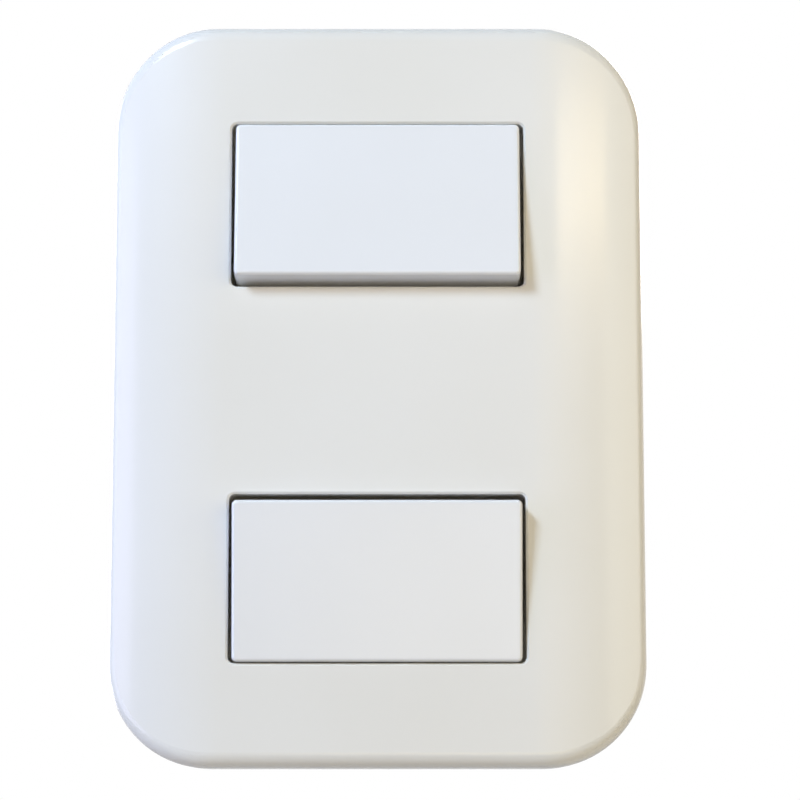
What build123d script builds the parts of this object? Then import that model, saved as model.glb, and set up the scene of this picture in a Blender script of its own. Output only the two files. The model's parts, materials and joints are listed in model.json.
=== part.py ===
from build123d import *
from math import asin, cos, pi, radians, sin, tan
import os

# Double light switch: two rockers, one above the other, in a crowned press-fit plate.
# Millimetres. X is to the right and Z is up. The wall is the plane y = 0 and the
# user looks along +Y, so "forward" below is a distance from the wall along -Y.
# The origin is the middle of the box screw pattern, on the wall.

# Cover plate
plate_width = 76.0
plate_corner_radius = 14.7
plate_projection = 9.5
plate_wall = 2.0
plate_edge_radius = 2.2
crown_flat_margin = 1.15
crown_radius = 31.0
collar_wall = 1.2
collar_depth = 2.5
window_corner_radius = 0.9
window_edge_chamfer = 0.3
plate_rib_thickness = 1.0
plate_rib_depth = 2.0
plate_rib_spacing = 16.0
plate_rib_length = 56.0

# Rockers
rocker_width = 40.5
rocker_height = 22.5
rocker_gap = 0.6
rocker_wall = 1.5
rocker_face_thickness = 1.6
rocker_edge_radius = 0.5
rocker_corner_radius = 0.7
rocker_tilt = 6.5
rocker_rib_thickness = 0.9
rocker_rib_depth = 2.2
rib_to_pin = 1.0
pivot_depth = 4.7
pressed_edge_rise = 0.45
stop_gap = 0.3
pin_radius = 1.2
pin_length = 2.2
ear_thickness = 1.8
ear_wall = 1.15
ear_play = 0.3
running_fit = 0.05

# Support frame
frame_end = 7.35
frame_side_margin = 4.0
frame_end_margin = 2.0
frame_corner_radius = 11.0
frame_thickness = 2.0
frame_rib_thickness = 1.2
frame_rib_height = 1.8
frame_rib_inset = 8.5
frame_slot_length = 7.0
frame_slot_play = 0.5

# Latches between the cover plate and the support frame
latch_width = 6.0
latch_spacing = 56.6
latch_thickness = 1.2
latch_overlap = 0.5
latch_gap = 0.3
latch_head = 1.0
latch_ramp = 1.0
latch_height = 2.9

# Box screws
box_screw_spacing = 83.3
box_screw_radius = 1.75
box_screw_neck_radius = 1.45
box_screw_reach = 20.0
box_screw_head_radius = 3.2
box_screw_head_height = 2.2
box_screw_head_chamfer = 0.7
box_screw_head_gap = 0.35
screw_slot_width = 0.9
screw_slot_depth = 0.9

# Module body
flange_clearance = 0.4
flange_thickness = 1.2
flange_lip = 1.3
frame_fit = 0.2
body_wall = 1.2
skirt_depth = 8.0
arm_width = 6.0
arm_slit = 0.6
arm_root = 6.0
arm_barb = 1.0
arm_barb_length = 3.4
arm_gap = 0.1
barrel_clearance = 0.4

# Module base
module_depth = 21.0
neck_depth = 2.0
lap_fit = 0.1
neck_wall = 1.2
base_corner_radius = 1.0
tooth_width = 5.0
tooth_length = 2.0
tooth_height = 0.9
tooth_place = 5.0
well_width = 7.0
well_wall = 1.5
well_notch_width = 5.6

# Contact lever
lever_depth = 8.0
lever_tilt = 8.0
lever_width = 4.4
lever_thickness = 0.8
lever_flat = 6.0
lever_wing = 3.7
trunnion_radius = 0.7
trunnion_length = 8.0
contact_radius = 1.4
contact_height = 0.7
contact_place = 2.1
contact_gap = 0.05

# Terminals
terminal_thickness = 1.0
pad_width = 8.4
pad_height = 8.0
pocket_clearance = 0.1
common_tongue_width = 4.0
load_tongue_width = 3.4
load_neck_width = 2.5
upright_inner = 3.0
upright_thickness = 0.8
upright_rise = 0.8
nut_plate_size = 5.0
nut_plate_thickness = 1.5
terminal_screw_radius = 1.5
terminal_screw_tip = 0.8
terminal_head_radius = 2.7
terminal_head_height = 2.0
thread_fit = 0.02
clamp_width = 6.2
clamp_height = 7.0
clamp_thickness = 1.0
clamp_lip = 0.8
wire_space = 2.0
clamp_hole_play = 0.2

# Plunger and its spring
barrel_wall = 1.15
plunger_radius = 1.6
plunger_length = 9.6
plunger_exposed = 4.6
plunger_nose_chamfer = 0.7
plunger_gap = 0.03
spring_wire = 0.3
spring_play = 0.25
spring_turns = 5
spring_bends = 8
spring_sides = 4

# Places that follow from the sizes above
window_width = rocker_width + 2 * rocker_gap
window_height = rocker_height + 2 * rocker_gap
crown_flat_width = window_width + 2 * crown_flat_margin
inner_face = plate_projection - plate_wall
frame_width = plate_width - 2 * (plate_wall + frame_side_margin)
frame_height = box_screw_spacing + 2 * frame_end
plate_height = frame_height + 2 * (plate_wall + frame_end_margin)
tilt_sin = sin(radians(rocker_tilt))
tilt_cos = cos(radians(rocker_tilt))
pivot_forward = (
    plate_projection + pressed_edge_rise - pivot_depth * tilt_cos + rocker_height / 2 * tilt_sin
)
rocker_inside = pivot_depth - rocker_face_thickness
flange_front = frame_thickness + flange_thickness
keel = (pivot_forward - flange_front - stop_gap) / tilt_cos
flange_width = window_width - 2 * flange_clearance
flange_height = window_height - 2 * flange_clearance
rocker_pitch = box_screw_spacing - 2 * (box_screw_head_radius + box_screw_head_gap) - flange_height
body_width = flange_width - 2 * flange_lip
body_height = flange_height - 2 * flange_lip
neck_width = body_width - 2 * (body_wall + lap_fit)
neck_height = body_height - 2 * (body_wall + lap_fit)
terminal_x = neck_width / 2 - neck_wall - pocket_clearance - pad_width / 2
chamber_half_width = terminal_x - pad_width / 2 - pocket_clearance - neck_wall
chamber_half_height = neck_height / 2 - neck_wall

# The lever's wings are bent forward by its own tilt, so the closed wing is parallel to the wall
bend = lever_flat / 2
closed_wing = lever_depth + bend * sin(radians(lever_tilt))
contact_z = bend * cos(radians(lever_tilt)) + contact_place
fixed_contact_face = closed_wing + lever_thickness / 2 + contact_height + contact_gap
terminal_front = fixed_contact_face + contact_height
pocket_floor = terminal_front + terminal_thickness
clamp_front = pocket_floor + wire_space
head_front = clamp_front + clamp_thickness

# The plunger just clears the level lever, the nearest that the two come in the rocker's travel
pivot_to_lever = pivot_forward + lever_depth
plunger_reach = pivot_to_lever - lever_thickness / 2 - plunger_gap
barrel_reach = plunger_reach - plunger_exposed
barrel_bore = plunger_radius + running_fit
barrel_radius = barrel_bore + barrel_wall
plunger_head = plunger_reach - plunger_length

modules = {
    "upper": (rocker_pitch / 2, 1),
    "lower": (-rocker_pitch / 2, -1),
}


def facing(forward, centre_z=0.0):
    """A plane parallel to the wall and facing the user. Behind the wall, forward is negative."""
    return Plane(origin=(0, -forward, centre_z), x_dir=(1, 0, 0), z_dir=(0, -1, 0))


def tipped(forward, centre_z, tilt):
    """The same plane turned about its own X axis. A positive tilt moves its top edge inward."""
    return Plane(
        origin=(0, -forward, centre_z),
        x_dir=(1, 0, 0),
        z_dir=(0, -cos(radians(tilt)), sin(radians(tilt))),
    )


def side_of(plane, x):
    """A plane across the given one, at x, whose own axes are that plane's up and forward."""
    return Plane(origin=plane.origin + Vector(x, 0, 0), x_dir=plane.y_dir, z_dir=(1, 0, 0))


def crown_section(inset):
    """The plate across its width: flat in the middle, rolled back towards both edges."""
    half_flat = crown_flat_width / 2
    half_width = plate_width / 2 - inset
    radius = crown_radius - inset
    centre_y = crown_radius - plate_projection
    half_turn = asin((half_width - half_flat) / radius) / 2
    middle = (half_flat + radius * sin(half_turn), centre_y - radius * cos(half_turn))
    edge_y = centre_y - radius * cos(2 * half_turn)
    with BuildSketch(Plane.XY.offset(inset - plate_height / 2)) as section:
        with BuildLine():
            base = Line((0, 0), (half_width, 0))
            rim = Line(base @ 1, (half_width, edge_y))
            roll = ThreePointArc(rim @ 1, middle, (half_flat, centre_y - radius))
            Line(roll @ 1, (0, centre_y - radius))
            mirror(about=Plane.YZ)
        make_face()
    return section.sketch


def crowned_block(inset):
    """The solid inside the plate's outer surface moved in by an inset."""
    with BuildPart() as block:
        extrude(crown_section(inset), amount=plate_height - 2 * inset)
        with BuildSketch(facing(0)):
            RectangleRounded(
                plate_width - 2 * inset, plate_height - 2 * inset, plate_corner_radius - inset
            )
        extrude(amount=plate_projection, mode=Mode.INTERSECT)
    return block.part


def latch_prong():
    """Section of the cover plate's prong on the right side, barbed towards the frame."""
    outside = latch_spacing / 2 + latch_thickness
    inside = latch_spacing / 2
    barb = inside - latch_gap - latch_overlap
    tip = frame_thickness + latch_height - latch_gap - latch_head - latch_ramp
    with BuildSketch(Plane.XY.offset(-latch_width / 2)) as section:
        with BuildLine():
            Polyline(
                (inside, -inner_face),
                (outside, -inner_face),
                (outside, -tip),
                (inside, -tip),
                (barb, -tip - latch_ramp),
                (barb, -tip - latch_ramp - latch_head),
                (inside, -tip - latch_ramp - latch_head),
                close=True,
            )
        make_face()
    return section.sketch


def latch_catch():
    """Section of the frame's catch on the right side, whose head hangs over the prong's barb."""
    head = latch_spacing / 2 - latch_gap
    face = head - latch_overlap - latch_gap
    hook = frame_thickness + latch_height
    with BuildSketch(Plane.XY.offset(-latch_width / 2)) as section:
        with BuildLine():
            Polyline(
                (face, -frame_thickness / 2),
                (face, -hook),
                (head, -hook),
                (head, -hook - latch_head / 2),
                (face, -hook - latch_head / 2 - latch_ramp),
                (face - latch_thickness, -hook - latch_head / 2 - latch_ramp),
                (face - latch_thickness, -frame_thickness / 2),
                close=True,
            )
        make_face()
    return section.sketch


def common_blade(forward, centre_z, grow=0.0):
    """Left terminal: a pad and a tongue that ends under the lever's pivot."""
    reach = upright_inner + upright_thickness
    with BuildSketch(facing(forward, centre_z)) as outline:
        with Locations((-terminal_x, 0)):
            Rectangle(pad_width + 2 * grow, pad_height + 2 * grow)
        with Locations((reach + grow, 0)):
            Rectangle(
                reach + grow + terminal_x,
                common_tongue_width + 2 * grow,
                align=(Align.MAX, Align.CENTER),
            )
    return outline.sketch


def load_blade(forward, centre_z, grow=0.0):
    """Right terminal: a pad and a tongue that carries the fixed contact."""
    neck_end = terminal_x - pad_width / 2 + load_neck_width
    tongue_end = -contact_radius - terminal_thickness / 2
    with BuildSketch(facing(forward, centre_z)) as outline:
        with Locations((terminal_x, 0)):
            Rectangle(pad_width + 2 * grow, pad_height + 2 * grow)
        with Locations((tongue_end - grow, contact_z)):
            Rectangle(
                neck_end - tongue_end + 2 * grow,
                load_tongue_width + 2 * grow,
                align=(Align.MIN, Align.CENTER),
            )
    return outline.sketch


def build_cover_plate():
    window_places = [(0, centre_z) for centre_z, sign in modules.values()]
    with BuildPart() as cover_plate:
        add(crowned_block(0))
        # The rim is every face but the crown's three and the back
        rim = cover_plate.faces().sort_by(Axis.Y)[3:-1]
        lip = rim.edges().filter_by(Axis.Y, reverse=True)
        fillet(lip.filter_by_position(Axis.Y, -plate_projection, -plate_wall), plate_edge_radius)
        add(crowned_block(plate_wall), mode=Mode.SUBTRACT)
        # Collars behind the windows and ribs across the blank middle
        with BuildSketch(facing(inner_face - collar_depth)):
            with Locations(window_places):
                Rectangle(window_width + 2 * collar_wall, window_height + 2 * collar_wall)
        extrude(amount=collar_depth + plate_wall / 2)
        with BuildSketch(facing(inner_face - plate_rib_depth)):
            with GridLocations(0, plate_rib_spacing, 1, 2):
                Rectangle(plate_rib_length, plate_rib_thickness)
        extrude(amount=plate_rib_depth + plate_wall / 2)
        # Prongs beside both windows
        for place in window_places:
            prong = latch_prong().moved(Location((0, 0, place[1])))
            extrude(prong, amount=latch_width)
            extrude(mirror(prong, about=Plane.YZ, mode=Mode.PRIVATE), amount=latch_width)
        # Windows right through the plate and the collars
        with BuildSketch(facing(plate_projection)):
            with Locations(window_places):
                RectangleRounded(window_width, window_height, window_corner_radius)
        extrude(amount=-plate_projection, mode=Mode.SUBTRACT)
        front = cover_plate.faces().sort_by(Axis.Y)[0]
        chamfer(front.inner_wires().edges(), window_edge_chamfer)
    cover_plate.part.label = "cover_plate"
    export_step(cover_plate.part, "parts/cover_plate.step")


def build_support_frame():
    module_places = [(0, centre_z) for centre_z, sign in modules.values()]
    with BuildPart() as support_frame:
        with BuildSketch(facing(0)):
            RectangleRounded(frame_width, frame_height, frame_corner_radius)
            with Locations(module_places):
                Rectangle(body_width + 2 * frame_fit, body_height + 2 * frame_fit, mode=Mode.SUBTRACT)
            with GridLocations(0, box_screw_spacing, 1, 2):
                SlotOverall(
                    frame_slot_length, 2 * (box_screw_radius + frame_slot_play), mode=Mode.SUBTRACT
                )
        extrude(amount=frame_thickness)
        # Two long stiffening ribs
        rib_spacing = frame_width - 2 * frame_rib_inset
        with BuildSketch(facing(frame_thickness)):
            with GridLocations(rib_spacing, 0, 2, 1):
                Rectangle(frame_rib_thickness, frame_height - 4 * frame_rib_inset)
        extrude(amount=frame_rib_height)
        for place in module_places:
            catch = latch_catch().moved(Location((0, 0, place[1])))
            extrude(catch, amount=latch_width)
            extrude(mirror(catch, about=Plane.YZ, mode=Mode.PRIVATE), amount=latch_width)
    support_frame.part.label = "support_frame"
    export_step(support_frame.part, "parts/support_frame.step")


def build_box_screws():
    with BuildPart() as box_screws:
        with BuildSketch(facing(0)):
            with GridLocations(0, box_screw_spacing, 1, 2):
                Circle(box_screw_radius)
        extrude(amount=-box_screw_reach)
        # Thinner neck where the screw passes the frame
        with BuildSketch(facing(0)):
            with GridLocations(0, box_screw_spacing, 1, 2):
                Circle(box_screw_neck_radius)
        extrude(amount=frame_thickness)
        with BuildSketch(facing(frame_thickness)):
            with GridLocations(0, box_screw_spacing, 1, 2):
                Circle(box_screw_head_radius)
        extrude(amount=box_screw_head_height)
        chamfer(box_screws.faces().sort_by(Axis.Y)[:2].edges(), box_screw_head_chamfer)
        with BuildSketch(facing(frame_thickness + box_screw_head_height)):
            with GridLocations(0, box_screw_spacing, 1, 2):
                Rectangle(3 * box_screw_head_radius, screw_slot_width)
        extrude(amount=-screw_slot_depth, mode=Mode.SUBTRACT)
    box_screws.part.label = "box_screws"
    export_step(box_screws.part, "parts/box_screws.step")


def build_rocker(name, centre_z, sign):
    hinge = tipped(pivot_forward, centre_z, sign * rocker_tilt)
    edge_depth = keel - rocker_height / 2 * tan(radians(rocker_tilt))
    with BuildPart() as rocker:
        # The side walls end in a shallow V, so that either half lies flat at its stop
        with BuildSketch(side_of(hinge, -rocker_width / 2)):
            with BuildLine():
                Polyline(
                    (-rocker_height / 2, pivot_depth),
                    (rocker_height / 2, pivot_depth),
                    (rocker_height / 2, -edge_depth),
                    (0, -keel),
                    (-rocker_height / 2, -edge_depth),
                    close=True,
                )
            make_face()
        extrude(amount=rocker_width)
        forward = Axis(hinge.origin, hinge.z_dir)
        fillet(rocker.edges().filter_by(forward), rocker_corner_radius)
        front_face = rocker.faces().sort_by(forward)[-1]
        fillet(front_face.edges(), rocker_edge_radius)
        # Hollow from behind
        with BuildSketch(hinge.offset(rocker_inside)):
            Rectangle(rocker_width - 2 * rocker_wall, rocker_height - 2 * rocker_wall)
        extrude(amount=-rocker_inside - 2 * keel, mode=Mode.SUBTRACT)
        # Ribs that cross at the barrel
        with BuildSketch(hinge.offset(rocker_inside)):
            Rectangle(rocker_width - 2 * (rocker_wall + pin_length + rib_to_pin), rocker_rib_thickness)
            Rectangle(rocker_rib_thickness, rocker_height - rocker_wall)
        extrude(amount=-rocker_rib_depth)
        with BuildSketch(hinge.offset(rocker_inside + rocker_face_thickness / 2)):
            Circle(barrel_radius)
        extrude(amount=-rocker_inside - rocker_face_thickness / 2 - barrel_reach)
        with BuildSketch(hinge.offset(-barrel_reach)):
            Circle(barrel_bore)
        extrude(amount=barrel_reach + rocker_inside, mode=Mode.SUBTRACT)
        # Hinge pins on the inside of the side walls
        for side in (-1, 1):
            with BuildSketch(side_of(hinge, side * (rocker_width / 2 - rocker_wall / 2))):
                Circle(pin_radius)
            extrude(amount=-side * (rocker_wall / 2 + pin_length))
    rocker.part.label = f"{name}_rocker"
    export_step(rocker.part, f"parts/{name}_rocker.step")


def build_plunger(name, centre_z, sign):
    hinge = tipped(pivot_forward, centre_z, sign * rocker_tilt)
    with BuildPart() as plunger:
        with BuildSketch(hinge.offset(-plunger_head)):
            Circle(plunger_radius)
        extrude(amount=-plunger_length)
        nose = plunger.faces().sort_by(Axis(hinge.origin, hinge.z_dir))[0]
        chamfer(nose.edges(), plunger_nose_chamfer)
    plunger.part.label = f"{name}_plunger"
    export_step(plunger.part, f"parts/{name}_plunger.step")

    spring_length = plunger_head + rocker_inside - spring_wire
    spring_radius = plunger_radius - spring_play - spring_wire / 2
    start = hinge.offset(rocker_inside - spring_wire / 2)
    bends = []
    for step in range(spring_turns * spring_bends + 1):
        angle = 2 * pi * step / spring_bends
        drop = spring_length * step / (spring_turns * spring_bends)
        bend_place = (spring_radius * cos(angle), spring_radius * sin(angle), -drop)
        bends.append(start.from_local_coords(bend_place))
    with BuildPart() as spring:
        with BuildLine() as coil:
            Polyline(*bends)
        with BuildSketch(Plane(origin=coil.line @ 0, z_dir=coil.line % 0)):
            RegularPolygon(spring_wire / 2, spring_sides)
        sweep(transition=Transition.RIGHT)
    spring.part.label = f"{name}_plunger_spring"
    export_step(spring.part, f"parts/{name}_plunger_spring.step")


def build_module_body(name, centre_z):
    rear = skirt_depth + frame_thickness
    with BuildPart() as body:
        with BuildSketch(facing(frame_thickness, centre_z)):
            Rectangle(flange_width, flange_height)
        extrude(amount=flange_thickness)
        with BuildSketch(facing(frame_thickness, centre_z)):
            RectangleRounded(body_width, body_height, base_corner_radius)
            Rectangle(body_width - 2 * body_wall, body_height - 2 * body_wall, mode=Mode.SUBTRACT)
        extrude(amount=-rear)
        # Opening that the rocker's barrel swings in
        swing = (barrel_reach + frame_thickness) * tilt_sin
        with BuildSketch(facing(flange_front, centre_z)):
            Rectangle(
                2 * (barrel_radius + barrel_clearance), 2 * (barrel_radius + barrel_clearance + swing / 2)
            )
        extrude(amount=-flange_thickness, mode=Mode.SUBTRACT)
        # Bearing ears with round tops
        ear_outside = rocker_width / 2 - rocker_wall - ear_play
        for side in (-1, 1):
            ear_plane = Plane.YZ.offset(side * ear_outside)
            with BuildSketch(ear_plane):
                with Locations((-pivot_forward, centre_z)):
                    Circle(pin_radius + ear_wall)
                    Rectangle(
                        pivot_forward - flange_front + flange_thickness / 2,
                        2 * (pin_radius + ear_wall),
                        align=(Align.MIN, Align.CENTER),
                    )
            extrude(amount=-side * ear_thickness)
            with BuildSketch(ear_plane):
                with Locations((-pivot_forward, centre_z)):
                    Circle(pin_radius + running_fit)
            extrude(amount=-side * ear_thickness, mode=Mode.SUBTRACT)
        # Windows round the latch arms, and windows for the teeth of the base
        arm_window = arm_root + body_wall
        with BuildSketch(Plane.YZ.offset(-body_width / 2)):
            with Locations((arm_root - arm_window, centre_z)):
                Rectangle(arm_window, arm_width + 2 * arm_slit, align=(Align.MIN, Align.CENTER))
        extrude(amount=body_width, mode=Mode.SUBTRACT)
        with BuildSketch(Plane.XY.offset(centre_z - body_height / 2)):
            with Locations((0, tooth_place)):
                Rectangle(tooth_width + 2 * lap_fit, tooth_length + 2 * lap_fit)
        extrude(amount=body_height, mode=Mode.SUBTRACT)
        # Latch arms whose barbs catch behind the support frame
        for side in (-1, 1):
            outside = side * body_width / 2
            with BuildSketch(Plane.XY.offset(centre_z - arm_width / 2)):
                with BuildLine():
                    Polyline(
                        (outside - side * body_wall, arm_gap),
                        (outside + side * arm_barb, arm_gap),
                        (outside + side * arm_barb, arm_gap + arm_barb / 2),
                        (outside, arm_gap + arm_barb_length),
                        (outside, arm_root + body_wall / 2),
                        (outside - side * body_wall, arm_root + body_wall / 2),
                        close=True,
                    )
                make_face()
            extrude(amount=arm_width)
    body.part.label = f"{name}_module_body"
    export_step(body.part, f"parts/{name}_module_body.step")


def build_module_base(name, centre_z):
    with BuildPart() as base:
        with BuildSketch(facing(-skirt_depth, centre_z)):
            RectangleRounded(body_width, body_height, base_corner_radius)
        extrude(amount=skirt_depth - module_depth)
        # Neck that the body's skirt laps over, with a latch tooth above and below
        with BuildSketch(facing(-neck_depth, centre_z)):
            Rectangle(neck_width, neck_height)
        extrude(amount=neck_depth - skirt_depth)
        for side in (-1, 1):
            wall = centre_z + side * neck_height / 2
            with BuildSketch(Plane.YZ.offset(-tooth_width / 2)):
                with BuildLine():
                    Polyline(
                        (tooth_place - tooth_length / 2, wall - side * lap_fit),
                        (tooth_place - tooth_length / 2, wall),
                        (tooth_place + tooth_length / 4, wall + side * tooth_height),
                        (tooth_place + tooth_length / 2, wall + side * tooth_height),
                        (tooth_place + tooth_length / 2, wall - side * lap_fit),
                        close=True,
                    )
                make_face()
            extrude(amount=tooth_width)
        # Contact chamber and terminal pockets, open to the front
        depth = pocket_floor - neck_depth
        with BuildSketch(facing(-neck_depth, centre_z)):
            Rectangle(2 * chamber_half_width, 2 * chamber_half_height)
        extrude(amount=-depth, mode=Mode.SUBTRACT)
        extrude(common_blade(-neck_depth, centre_z, pocket_clearance), -depth, mode=Mode.SUBTRACT)
        extrude(load_blade(-neck_depth, centre_z, pocket_clearance), -depth, mode=Mode.SUBTRACT)
        # Rest for the lever's lower wing
        with BuildSketch(facing(-pocket_floor, centre_z)):
            with Locations((0, -contact_z)):
                Rectangle(lever_width, 2 * contact_radius)
        extrude(amount=pocket_floor - closed_wing - lever_thickness / 2 - contact_gap)
        # Terminal wells, open to the rear, with notches for the wires above and below
        with BuildSketch(facing(-module_depth, centre_z)):
            with GridLocations(2 * terminal_x, 0, 2, 1):
                Rectangle(well_width, body_height - 2 * well_wall)
                Rectangle(well_notch_width, body_height)
        extrude(amount=module_depth - pocket_floor, mode=Mode.SUBTRACT)
    base.part.label = f"{name}_module_base"
    export_step(base.part, f"parts/{name}_module_base.step")


def build_contact_lever(name, centre_z, sign):
    seat = tipped(-lever_depth, centre_z, -sign * lever_tilt)
    turn = radians(lever_tilt)
    half = lever_thickness / 2
    corner = half * tan(turn / 2)
    end_z = bend + lever_wing * cos(turn)
    end_rise = lever_wing * sin(turn)
    with BuildPart() as lever:
        with BuildSketch(side_of(seat, -lever_width / 2)):
            with BuildLine():
                Polyline(
                    (0, half),
                    (bend - corner, half),
                    (end_z - half * sin(turn), end_rise + half * cos(turn)),
                    (end_z + half * sin(turn), end_rise - half * cos(turn)),
                    (bend + corner, -half),
                    (0, -half),
                )
                mirror(about=Plane.YZ)
            make_face()
        extrude(amount=lever_width)
        for side in (-1, 1):
            with BuildSketch(side_of(seat, side * trunnion_length / 2)):
                Circle(trunnion_radius)
            extrude(amount=-side * (trunnion_length - lever_width) / 2)
    lever.part.label = f"{name}_contact_lever"
    export_step(lever.part, f"parts/{name}_contact_lever.step")

    # The button sits on the rear of the upper wing
    with BuildPart() as contact:
        with BuildSketch(wing_plane(seat).offset(-half)):
            Circle(contact_radius)
        extrude(amount=-contact_height)
    contact.part.label = f"{name}_moving_contact"
    export_step(contact.part, f"parts/{name}_moving_contact.step")


def wing_plane(seat):
    """The moving contact's place in the middle of the upper wing, square to it."""
    turn = radians(lever_tilt)
    up = seat.y_dir * cos(turn) + seat.z_dir * sin(turn)
    origin = seat.origin + seat.y_dir * bend + up * contact_place
    return Plane(origin=origin, x_dir=(1, 0, 0), z_dir=Vector(1, 0, 0).cross(up))


def build_terminals(name, centre_z):
    pivot = facing(-lever_depth, centre_z)
    with BuildPart() as common:
        extrude(common_blade(-terminal_front, centre_z), -terminal_thickness)
        # Uprights with notches that carry the lever's trunnions
        with BuildSketch(facing(-terminal_front, centre_z)):
            with GridLocations(2 * upright_inner + upright_thickness, 0, 2, 1):
                Rectangle(upright_thickness, common_tongue_width)
        extrude(amount=terminal_front - lever_depth + upright_rise)
        with BuildSketch(side_of(pivot, -upright_inner - upright_thickness)):
            Circle(trunnion_radius + running_fit)
            Rectangle(
                2 * (trunnion_radius + running_fit),
                2 * upright_rise,
                align=(Align.CENTER, Align.MIN),
            )
        extrude(amount=2 * (upright_inner + upright_thickness), mode=Mode.SUBTRACT)
        with BuildSketch(facing(-terminal_front, centre_z)):
            with Locations((-terminal_x, 0)):
                Rectangle(nut_plate_size, nut_plate_size)
        extrude(amount=nut_plate_thickness)
        with BuildSketch(facing(-pocket_floor, centre_z)):
            with Locations((-terminal_x, 0)):
                Circle(terminal_screw_radius + thread_fit)
        extrude(amount=terminal_thickness + nut_plate_thickness, mode=Mode.SUBTRACT)
    common.part.label = f"{name}_common_terminal"
    export_step(common.part, f"parts/{name}_common_terminal.step")

    with BuildPart() as load:
        extrude(load_blade(-terminal_front, centre_z), -terminal_thickness)
        with BuildSketch(facing(-terminal_front, centre_z)):
            with Locations((terminal_x, 0)):
                Rectangle(nut_plate_size, nut_plate_size)
        extrude(amount=nut_plate_thickness)
        with BuildSketch(facing(-pocket_floor, centre_z)):
            with Locations((terminal_x, 0)):
                Circle(terminal_screw_radius + thread_fit)
        extrude(amount=terminal_thickness + nut_plate_thickness, mode=Mode.SUBTRACT)
    load.part.label = f"{name}_load_terminal"
    export_step(load.part, f"parts/{name}_load_terminal.step")

    with BuildPart() as contact:
        with BuildSketch(facing(-terminal_front, centre_z + contact_z)):
            Circle(contact_radius)
        extrude(amount=contact_height)
    contact.part.label = f"{name}_fixed_contact"
    export_step(contact.part, f"parts/{name}_fixed_contact.step")


def build_terminal_fasteners(name, centre_z):
    tip = terminal_front - nut_plate_thickness + terminal_screw_tip
    with BuildPart() as screws:
        with BuildSketch(facing(-head_front, centre_z)):
            with GridLocations(2 * terminal_x, 0, 2, 1):
                Circle(terminal_screw_radius)
        extrude(amount=head_front - tip)
        with BuildSketch(facing(-head_front, centre_z)):
            with GridLocations(2 * terminal_x, 0, 2, 1):
                Circle(terminal_head_radius)
        extrude(amount=-terminal_head_height)
        with BuildSketch(facing(-head_front - terminal_head_height, centre_z)):
            with GridLocations(2 * terminal_x, 0, 2, 1):
                Rectangle(screw_slot_width, 3 * terminal_head_radius)
        extrude(amount=screw_slot_depth, mode=Mode.SUBTRACT)
    screws.part.label = f"{name}_terminal_screws"
    export_step(screws.part, f"parts/{name}_terminal_screws.step")

    with BuildPart() as clamps:
        with BuildSketch(facing(-head_front, centre_z)):
            with GridLocations(2 * terminal_x, 0, 2, 1):
                Rectangle(clamp_width, clamp_height)
        extrude(amount=clamp_thickness + clamp_lip)
        # A channel for the wires leaves a lip along both sides
        with BuildSketch(facing(-clamp_front, centre_z)):
            with GridLocations(2 * terminal_x, 0, 2, 1):
                Rectangle(clamp_width - 2 * clamp_lip, clamp_height)
        extrude(amount=clamp_lip, mode=Mode.SUBTRACT)
        with BuildSketch(facing(-head_front, centre_z)):
            with GridLocations(2 * terminal_x, 0, 2, 1):
                Circle(terminal_screw_radius + clamp_hole_play)
        extrude(amount=clamp_thickness, mode=Mode.SUBTRACT)
    clamps.part.label = f"{name}_clamp_plates"
    export_step(clamps.part, f"parts/{name}_clamp_plates.step")


os.makedirs("parts", exist_ok=True)
build_cover_plate()
build_support_frame()
build_box_screws()
for name, (centre_z, sign) in modules.items():
    build_rocker(name, centre_z, sign)
    build_plunger(name, centre_z, sign)
    build_module_body(name, centre_z)
    build_module_base(name, centre_z)
    build_contact_lever(name, centre_z, sign)
    build_terminals(name, centre_z)
    build_terminal_fasteners(name, centre_z)
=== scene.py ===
import json
from math import cos, pi, radians, sin

import bmesh
import bpy
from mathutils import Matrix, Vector


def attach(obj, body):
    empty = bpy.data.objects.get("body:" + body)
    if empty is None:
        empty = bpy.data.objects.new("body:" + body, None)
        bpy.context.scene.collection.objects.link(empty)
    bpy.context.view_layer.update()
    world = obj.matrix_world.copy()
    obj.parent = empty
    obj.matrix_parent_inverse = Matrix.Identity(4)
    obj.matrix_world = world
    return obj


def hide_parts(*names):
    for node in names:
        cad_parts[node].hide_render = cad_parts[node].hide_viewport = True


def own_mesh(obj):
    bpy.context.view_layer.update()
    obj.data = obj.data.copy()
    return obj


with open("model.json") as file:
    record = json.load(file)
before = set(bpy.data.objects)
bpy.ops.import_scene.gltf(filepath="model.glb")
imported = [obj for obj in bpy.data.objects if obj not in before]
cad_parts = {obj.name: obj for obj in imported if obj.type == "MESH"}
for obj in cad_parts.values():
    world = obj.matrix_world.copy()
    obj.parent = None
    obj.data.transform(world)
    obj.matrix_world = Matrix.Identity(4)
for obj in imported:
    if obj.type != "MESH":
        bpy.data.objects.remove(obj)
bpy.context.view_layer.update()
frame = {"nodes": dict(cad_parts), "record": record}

# All lengths are in metres, unless a name says otherwise

# Camera: near and a little below the switch, as in the photograph
CAMERA_DISTANCE = 0.40
CAMERA_ELEVATION = radians(-8.4)
CAMERA_AIM = (0.0032, 0.0, -0.0001)
CAMERA_RANGE = 20.0
VIEW_WIDTH = 0.1156
SENSOR_MM = 36.0

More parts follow.
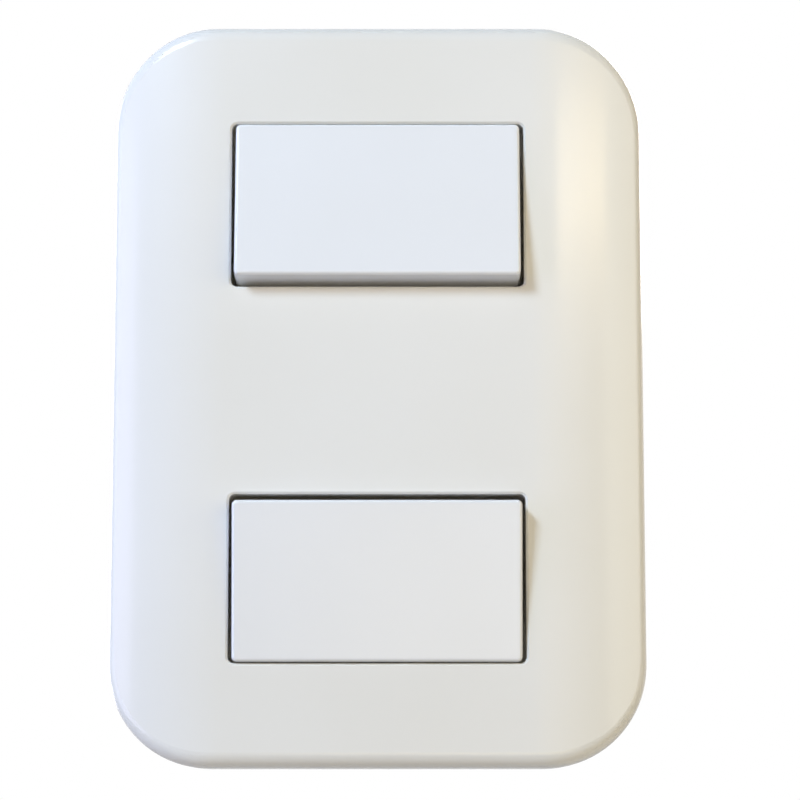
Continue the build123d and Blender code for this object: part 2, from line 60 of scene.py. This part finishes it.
# Colours, linear
WHITE = (1.0, 1.0, 1.0)
WHITE_COVER = (0.80, 0.795, 0.778)
WHITE_ROCKER = (0.815, 0.835, 0.88)
GREY_FRAME = (0.56, 0.56, 0.54)
IVORY_HOUSING = (0.76, 0.75, 0.70)
NATURAL_NYLON = (0.70, 0.68, 0.60)
ZINC = (0.50, 0.51, 0.52)
SPRING = (0.30, 0.30, 0.32)
BRASS = (0.66, 0.45, 0.16)
SILVER = (0.72, 0.72, 0.71)
FLOOR_GREY = (0.80, 0.80, 0.80)
COOL_LIGHT = (0.64, 0.80, 1.0)
PALE_LIGHT = (0.74, 0.71, 1.0)
AMBER_LIGHT = (1.0, 0.80, 0.48)
WARM_LIGHT = (1.0, 0.93, 0.76)
LOW_LIGHT = (1.0, 0.80, 0.38)
NEUTRAL_LIGHT = (1.0, 0.98, 0.96)

# Tints of the darker clouds in a colour
CREAM_TINT = (1.0, 0.995, 0.98)
BLUE_TINT = (0.98, 1.0, 1.04)
BROWN_TINT = (1.0, 0.92, 0.8)

# Lamps: name, place, width, height, power in watts, colour
LAMPS = (
    ("key", (-0.36, -0.42, 0.36), 0.16, 0.16, 3.70, COOL_LIGHT),
    ("left", (-0.45, -0.15, 0.0), 0.30, 0.30, 0.84, PALE_LIGHT),
    ("window", (0.20, -0.31, 0.110), 0.17, 0.042, 0.15, AMBER_LIGHT),
    ("soft", (0.24, -0.50, 0.06), 0.40, 0.30, 0.40, AMBER_LIGHT),
    ("right", (0.45, -0.25, 0.05), 0.30, 0.30, 0.77, WARM_LIGHT),
    ("low", (0.15, -0.65, -0.16), 0.40, 0.16, 0.50, LOW_LIGHT),
    ("back", (0.40, 0.70, 0.40), 0.50, 0.50, 5.5, NEUTRAL_LIGHT),
    ("back_fill", (-0.60, 0.60, 0.10), 0.50, 0.50, 3.8, NEUTRAL_LIGHT),
)
LAMP_AIM = (0.0, 0.0, 0.0)

# Floor. Its glow is white where FLOOR_FADE starts, counted from the rim to the middle as 0 to 1
FLOOR_HEIGHT = -0.55
FLOOR_SIZE = 12.0
FLOOR_CLOUDS = 6.0
FLOOR_SPREAD = 0.02
FLOOR_ROUGHNESS = (0.7, 0.8)
FLOOR_FADE = (0.2, 0.85)
MIDDLE_GLOW = 0.78
MIDDLE_GLOW_SHARE = 0.72

# Plastics: noise per metre for the flow clouds and the skin, and the strength of each bump
PLASTIC_IOR = 1.5
CLOUD_SCALE = 28.0
SKIN_SCALE = 160.0
RIPPLE_DEPTH = 3.0
RIPPLE_STRENGTH = 0.15
GRAIN_STRENGTH = 0.4

# Metals: noise per metre for the tarnish and the lines, and the bump of the lines
TARNISH_SCALE = 240.0
LINE_SCALE = 700.0
LINE_DEPTH = 0.00002
LINE_STRENGTH = 0.35

# Values of the noise between which a colour goes from its darker copy to itself
RAMP_DARK = 0.3
RAMP_FULL = 0.7

# Box screws, with the CAD's sizes, from the middle of the switch and from the wall
SCREW_PLACE = 0.04165
SCREW_RADIUS = 0.00175
SCREW_NECK_RADIUS = 0.00145
SCREW_REACH = 0.0200
HEAD_RADIUS = 0.0032
HEAD_HEIGHT = 0.0022
HEAD_CHAMFER = 0.0007
HEAD_SEAT = -0.0020
HEAD_REAR_CHAMFER = 0.00015
SLOT_SIZE = 0.0009

# The head's front edge from face to side: depth and inset, as shares of HEAD_CHAMFER
HEAD_EDGE = ((0.0, 1.0), (0.5, 0.2), (1.0, 0.0))

# Thread of the box screws, which is plain in the CAD. Rows are rings of corners in one pitch
THREAD_PITCH = 0.0006
THREAD_DEPTH = 0.00034
THREAD_LEAD = 0.0012
THREAD_CREST = 0.2
THREAD_ROWS = 8
THREAD_SIDES = 28
TIP_TAPER = 0.0003
TIP_THREAD = 0.25
SCREW_SHARP_ANGLE = radians(38.0)

# Plunger springs, from each rocker's pivot along its plunger
SPRING_SEAT = 0.0031
SPRING_LENGTH = 0.0076
SPRING_RADIUS = 0.0012
SPRING_WIRE_RADIUS = 0.00015
SPRING_TURNS = 7
SPRING_STEPS = 24
SPRING_SIDES = 10
SPRING_SHARP_ANGLE = radians(76.0)


def place_camera():
    data = bpy.data.cameras.new("camera")
    data.sensor_width = SENSOR_MM
    data.lens = SENSOR_MM * CAMERA_DISTANCE / VIEW_WIDTH
    data.clip_end = CAMERA_RANGE
    camera = bpy.data.objects.new("camera", data)
    bpy.context.scene.collection.objects.link(camera)
    back = Vector((0.0, -cos(CAMERA_ELEVATION), sin(CAMERA_ELEVATION)))
    camera.location = Vector(CAMERA_AIM) + back * CAMERA_DISTANCE
    camera.rotation_euler = (pi / 2 - CAMERA_ELEVATION, 0.0, 0.0)
    bpy.context.scene.camera = camera


def place_lamps():
    for name, place, width, height, power, colour in LAMPS:
        data = bpy.data.lights.new(name, "AREA")
        data.shape = "RECTANGLE"
        data.size = width
        data.size_y = height
        data.energy = power
        data.color = colour
        lamp = bpy.data.objects.new(name, data)
        bpy.context.scene.collection.objects.link(lamp)
        lamp.location = place
        aim = Vector(LAMP_AIM) - Vector(place)
        lamp.rotation_euler = aim.to_track_quat("-Z", "Y").to_euler()


def link(tree, source, output, target, socket):
    tree.links.new(source.outputs[output], target.inputs[socket])


def looked_at(tree):
    """1 where the camera, a reflection or clear material looks, and 0 for light that is scattered."""
    path = tree.nodes.new("ShaderNodeLightPath")
    seen = tree.nodes.new("ShaderNodeMath")
    seen.operation = "MAXIMUM"
    any_seen = tree.nodes.new("ShaderNodeMath")
    any_seen.operation = "MAXIMUM"
    link(tree, path, "Is Camera Ray", seen, 0)
    link(tree, path, "Is Glossy Ray", seen, 1)
    link(tree, seen, 0, any_seen, 0)
    link(tree, path, "Is Transmission Ray", any_seen, 1)
    return any_seen


def set_world():
    """White where the camera, a reflection or clear material looks, and no lamp otherwise."""
    world = bpy.data.worlds.new("studio")
    bpy.context.scene.world = world
    world.use_nodes = True
    tree = world.node_tree
    tree.nodes.clear()
    output = tree.nodes.new("ShaderNodeOutputWorld")
    white = tree.nodes.new("ShaderNodeBackground")
    white.inputs["Color"].default_value = (*WHITE, 1.0)
    link(tree, looked_at(tree), 0, white, "Strength")
    link(tree, white, 0, output, "Surface")


def new_material(name):
    material = bpy.data.materials.new(name)
    material.use_nodes = True
    tree = material.node_tree
    shader = tree.nodes["Principled BSDF"]
    place = tree.nodes.new("ShaderNodeTexCoord")
    return material, tree, shader, place


def noise(tree, place, scale, detail=2.0, stretch=(1.0, 1.0, 1.0)):
    """Noise in the part's own metres, drawn out along an axis by a small stretch value."""
    mapping = tree.nodes.new("ShaderNodeMapping")
    mapping.inputs["Scale"].default_value = stretch
    link(tree, place, "Object", mapping, "Vector")
    node = tree.nodes.new("ShaderNodeTexNoise")
    node.inputs["Scale"].default_value = scale
    node.inputs["Detail"].default_value = detail
    link(tree, mapping, "Vector", node, "Vector")
    return node


def vary_colour(tree, shader, source, colour, spread, tint):
    """Base colour between a darker, tinted copy and the colour itself."""
    ramp = tree.nodes.new("ShaderNodeValToRGB")
    dark = [channel * (1.0 - spread) * t for channel, t in zip(colour, tint)]
    ramp.color_ramp.elements[0].position = RAMP_DARK
    ramp.color_ramp.elements[0].color = (*dark, 1.0)
    ramp.color_ramp.elements[1].position = RAMP_FULL
    ramp.color_ramp.elements[1].color = (*colour, 1.0)
    link(tree, source, "Fac", ramp, "Fac")
    link(tree, ramp, "Color", shader, "Base Color")


def vary_roughness(tree, shader, source, roughness):
    low, high = roughness
    reach = tree.nodes.new("ShaderNodeMapRange")
    reach.inputs["To Min"].default_value = low
    reach.inputs["To Max"].default_value = high
    link(tree, source, "Fac", reach, "Value")
    link(tree, reach, "Result", shader, "Roughness")


def add_bump(tree, shader, source, distance, strength, below=None):
    bump = tree.nodes.new("ShaderNodeBump")
    bump.inputs["Strength"].default_value = strength
    bump.inputs["Distance"].default_value = distance
    link(tree, source, "Fac", bump, "Height")
    if below:
        link(tree, below, "Normal", bump, "Normal")
    link(tree, bump, "Normal", shader, "Normal")
    return bump


def plastic(name, colour, roughness, grain_scale, grain_depth, spread):
    """Moulded plastic: faint flow clouds, polished or matt skin, and a fine moulding grain."""
    material, tree, shader, place = new_material(name)
    clouds = noise(tree, place, CLOUD_SCALE)
    skin = noise(tree, place, SKIN_SCALE, detail=4.0)
    fine = noise(tree, place, grain_scale, detail=3.0)
    shader.inputs["IOR"].default_value = PLASTIC_IOR
    vary_colour(tree, shader, clouds, colour, spread, CREAM_TINT)
    vary_roughness(tree, shader, skin, roughness)
    ripple = add_bump(tree, shader, skin, grain_depth * RIPPLE_DEPTH, RIPPLE_STRENGTH)
    add_bump(tree, shader, fine, grain_depth, GRAIN_STRENGTH, below=ripple)
    return material


def metal(name, colour, roughness, stretch, spread, tint=WHITE):
    """Rolled or drawn metal: fine lines along one way, and soft clouds of tarnish."""
    material, tree, shader, place = new_material(name)
    clouds = noise(tree, place, TARNISH_SCALE, detail=3.0)
    lines = noise(tree, place, LINE_SCALE, detail=5.0, stretch=stretch)
    shader.inputs["Metallic"].default_value = 1.0
    vary_colour(tree, shader, clouds, colour, spread, tint)
    vary_roughness(tree, shader, lines, roughness)
    add_bump(tree, shader, lines, LINE_DEPTH, LINE_STRENGTH)
    return material


def make_cover_plastic(name):
    return plastic(
        name, WHITE_COVER, roughness=(0.15, 0.21), grain_scale=1500.0, grain_depth=0.000006, spread=0.03
    )


def make_rocker_plastic(name):
    return plastic(
        name, WHITE_ROCKER, roughness=(0.18, 0.24), grain_scale=1700.0, grain_depth=0.000005, spread=0.03
    )


def make_frame_plastic(name):
    return plastic(
        name, GREY_FRAME, roughness=(0.45, 0.60), grain_scale=2200.0, grain_depth=0.00006, spread=0.05
    )


def make_housing_plastic(name):
    return plastic(
        name, IVORY_HOUSING, roughness=(0.42, 0.58), grain_scale=2400.0, grain_depth=0.00005, spread=0.06
    )


def make_nylon(name):
    return plastic(
        name, NATURAL_NYLON, roughness=(0.35, 0.50), grain_scale=1800.0, grain_depth=0.00001, spread=0.05
    )


def make_zinc_plated_steel(name):
    return metal(name, ZINC, roughness=(0.29, 0.44), stretch=(1.0, 1.0, 0.2), spread=0.25, tint=BLUE_TINT)


def make_spring_steel(name):
    return metal(name, SPRING, roughness=(0.29, 0.42), stretch=(1.0, 0.3, 1.0), spread=0.2)


def make_brass(name):
    return metal(name, BRASS, roughness=(0.29, 0.40), stretch=(0.15, 1.0, 1.0), spread=0.18, tint=BROWN_TINT)


def make_contact_silver(name):
    return metal(name, SILVER, roughness=(0.285, 0.33), stretch=(1.0, 1.0, 1.0), spread=0.1)


MATERIAL_MAKERS = {
    "cover_plastic": make_cover_plastic,
    "rocker_plastic": make_rocker_plastic,
    "frame_plastic": make_frame_plastic,
    "housing_plastic": make_housing_plastic,
    "nylon": make_nylon,
    "zinc_plated_steel": make_zinc_plated_steel,
    "spring_steel": make_spring_steel,
    "brass": make_brass,
    "contact_silver": make_contact_silver,
}


def dress_nodes(materials):
    """Each of the CAD's nodes gets the material of its slot in the record."""
    for part in frame["record"]["subparts"]:
        piece = frame["nodes"][part["node"]]
        piece.data.materials.clear()
        piece.data.materials.append(materials[part["material_slot"]])


def skin_rings(bm, rings):
    """Join each ring of corners to the next, and close the first and the last."""
    sides = len(rings[0])
    for near, far in zip(rings, rings[1:]):
        for side in range(sides):
            after = (side + 1) % sides
            bm.faces.new((near[side], near[after], far[after], far[side]))
    bm.faces.new(list(reversed(rings[0])))
    bm.faces.new(rings[-1])


def mesh_piece(name, bm, material):
    bmesh.ops.recalc_face_normals(bm, faces=bm.faces)
    mesh = bpy.data.meshes.new(name)
    bm.to_mesh(mesh)
    bm.free()
    mesh.materials.append(material)
    piece = bpy.data.objects.new(name, mesh)
    bpy.context.scene.collection.objects.link(piece)
    return piece


def shade_smooth(piece, sharp_angle):
    smooth = [True] * len(piece.data.polygons)
    piece.data.polygons.foreach_set("use_smooth", smooth)
    piece.data.set_sharp_from_angle(angle=sharp_angle)


def cut_away(piece, cutter):
    """Cut one mesh out of another for good, and remove the cutter."""
    cut = piece.modifiers.new("cut", "BOOLEAN")
    cut.operation = "DIFFERENCE"
    cut.solver = "EXACT"
    cut.object = cutter
    view = bpy.context.evaluated_depsgraph_get()
    solid = bpy.data.meshes.new_from_object(piece.evaluated_get(view))
    piece.modifiers.clear()
    piece.data = solid
    bpy.data.objects.remove(cutter)


def thread_radius(depth, turn):
    """Radius of the threaded shank at a depth into the wall and a part of a turn."""
    phase = (depth / THREAD_PITCH - turn) % 1.0
    crest = min(1.0, (1.0 - abs(2.0 * phase - 1.0)) / (1.0 - THREAD_CREST))
    run_in = min(1.0, depth / THREAD_LEAD)
    run_out = min(1.0, (SCREW_REACH - depth) / THREAD_LEAD)
    height = THREAD_DEPTH * crest * run_in * (TIP_THREAD + (1.0 - TIP_THREAD) * run_out)
    root = SCREW_RADIUS - THREAD_DEPTH
    return root + height - TIP_TAPER * (1.0 - run_out)


def lathe_screw(bm, centre):
    """One closed screw round an axis along Y: round head at the front, thread into the wall."""
    face = HEAD_SEAT - HEAD_HEIGHT
    profile = []
    for depth, inset in HEAD_EDGE:
        profile.append((face + depth * HEAD_CHAMFER, HEAD_RADIUS - inset * HEAD_CHAMFER))
    profile += [
        (HEAD_SEAT - HEAD_REAR_CHAMFER, HEAD_RADIUS),
        (HEAD_SEAT, HEAD_RADIUS - HEAD_REAR_CHAMFER),
        (HEAD_SEAT, SCREW_NECK_RADIUS),
        (0.0, SCREW_NECK_RADIUS),
    ]
    outline = [(y, [radius] * THREAD_SIDES) for y, radius in profile]
    steps = int(SCREW_REACH / THREAD_PITCH * THREAD_ROWS)
    for step in range(1, steps + 1):
        y = SCREW_REACH * step / steps
        radii = [thread_radius(y, side / THREAD_SIDES) for side in range(THREAD_SIDES)]
        outline.append((y, radii))
    rings = []
    for y, radii in outline:
        ring = []
        for side, radius in enumerate(radii):
            angle = 2 * pi * side / THREAD_SIDES
            ring.append(bm.verts.new((radius * cos(angle), y, centre + radius * sin(angle))))
        rings.append(ring)
    skin_rings(bm, rings)


def make_box_screws(material):
    """Slotted screws with rolled threads, in the place of the CAD's plain ones."""
    screws = bmesh.new()
    slots = bmesh.new()
    face = HEAD_SEAT - HEAD_HEIGHT
    for centre in (-SCREW_PLACE, SCREW_PLACE):
        lathe_screw(screws, centre)
        box = bmesh.ops.create_cube(slots, size=1.0)["verts"]
        bmesh.ops.scale(slots, vec=(3 * HEAD_RADIUS, 2 * SLOT_SIZE, SLOT_SIZE), verts=box)
        bmesh.ops.translate(slots, vec=(0.0, face, centre), verts=box)
    piece = mesh_piece("threaded_box_screws", screws, material)
    cut_away(piece, mesh_piece("slots", slots, material))
    shade_smooth(piece, SCREW_SHARP_ANGLE)
    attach(piece, "housing")
    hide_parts("box_screws")


def spring_rise(turn):
    """How far along its axis the wire is after so many turns. The end turns are closed."""
    closed = 2 * SPRING_WIRE_RADIUS
    # The length holds the wire's own thickness, two closed turns and the open turns
    pitch = (SPRING_LENGTH - 3 * closed) / (SPRING_TURNS - 2)
    ends = min(turn, 1.0) + max(0.0, turn - SPRING_TURNS + 1)
    middle = min(max(turn - 1.0, 0.0), SPRING_TURNS - 2.0)
    return ends * closed + middle * pitch


def make_plunger_spring(name, material):
    """Compression spring of round wire, which moves with its rocker unit."""
    joints = {joint["name"]: joint for joint in frame["record"]["behaviour"]["joints"]}
    pivot = Vector(joints[f"{name}_rocker_hinge"]["pos_m"])
    axis = Vector(joints[f"{name}_plunger_slide"]["axis"])
    across = Vector((1.0, 0.0, 0.0))
    up = axis.cross(across)
    seat = pivot + axis * SPRING_SEAT
    bm = bmesh.new()
    rings = []
    for step in range(SPRING_TURNS * SPRING_STEPS + 1):
        turn = step / SPRING_STEPS
        out = across * cos(2 * pi * turn) + up * sin(2 * pi * turn)
        centre = seat + out * SPRING_RADIUS - axis * (SPRING_WIRE_RADIUS + spring_rise(turn))
        ring = []
        for side in range(SPRING_SIDES):
            angle = 2 * pi * side / SPRING_SIDES
            from_centre = (out * cos(angle) + axis * sin(angle)) * SPRING_WIRE_RADIUS
            ring.append(bm.verts.new(centre + from_centre))
        rings.append(ring)
    skin_rings(bm, rings)
    piece = mesh_piece(f"{name}_round_wire_spring", bm, material)
    shade_smooth(piece, SPRING_SHARP_ANGLE)
    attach(piece, f"{name}_rocker_unit")
    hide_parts(f"{name}_plunger_spring")
    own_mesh(piece)


def add_floor_glow(tree, shader, place):
    """Even white far away, so that the floor runs into the white background."""
    reach = tree.nodes.new("ShaderNodeMapping")
    reach.inputs["Scale"].default_value = (2 / FLOOR_SIZE, 2 / FLOOR_SIZE, 1.0)
    middle = tree.nodes.new("ShaderNodeTexGradient")
    middle.gradient_type = "SPHERICAL"
    link(tree, place, "Object", reach, "Vector")
    link(tree, reach, "Vector", middle, "Vector")
    glow = tree.nodes.new("ShaderNodeEmission")
    share = tree.nodes.new("ShaderNodeMath")
    share.operation = "MULTIPLY"
    fade_start, fade_end = FLOOR_FADE
    for at_middle, target, socket in ((MIDDLE_GLOW, glow, "Strength"), (MIDDLE_GLOW_SHARE, share, 1)):
        fade = tree.nodes.new("ShaderNodeMapRange")
        fade.inputs["From Min"].default_value = fade_start
        fade.inputs["From Max"].default_value = fade_end
        fade.inputs["To Min"].default_value = 1.0
        fade.inputs["To Max"].default_value = at_middle
        link(tree, middle, "Fac", fade, "Value")
        link(tree, fade, "Result", target, socket)
    mix = tree.nodes.new("ShaderNodeMixShader")
    link(tree, looked_at(tree), 0, share, 0)
    link(tree, share, 0, mix, 0)
    link(tree, shader, 0, mix, 1)
    link(tree, glow, 0, mix, 2)
    link(tree, mix, 0, tree.nodes["Material Output"], "Surface")


def make_floor():
    material, tree, shader, place = new_material("floor_paint")
    clouds = noise(tree, place, FLOOR_CLOUDS)
    vary_colour(tree, shader, clouds, FLOOR_GREY, FLOOR_SPREAD, WHITE)
    vary_roughness(tree, shader, clouds, FLOOR_ROUGHNESS)
    add_floor_glow(tree, shader, place)
    half = FLOOR_SIZE / 2
    mesh = bpy.data.meshes.new("floor")
    corners = [(-half, -half, 0), (half, -half, 0), (half, half, 0), (-half, half, 0)]
    mesh.from_pydata(corners, [], [(0, 1, 2, 3)])
    mesh.materials.append(material)
    floor = bpy.data.objects.new("floor", mesh)
    floor.location = (0.0, 0.0, FLOOR_HEIGHT)
    bpy.context.scene.collection.objects.link(floor)


bpy.context.scene.view_settings.view_transform = "Standard"
place_camera()
place_lamps()
set_world()
make_floor()
materials = {name: make(name) for name, make in MATERIAL_MAKERS.items()}
dress_nodes(materials)
make_box_screws(materials["zinc_plated_steel"])
for module in ("upper", "lower"):
    make_plunger_spring(module, materials["spring_steel"])
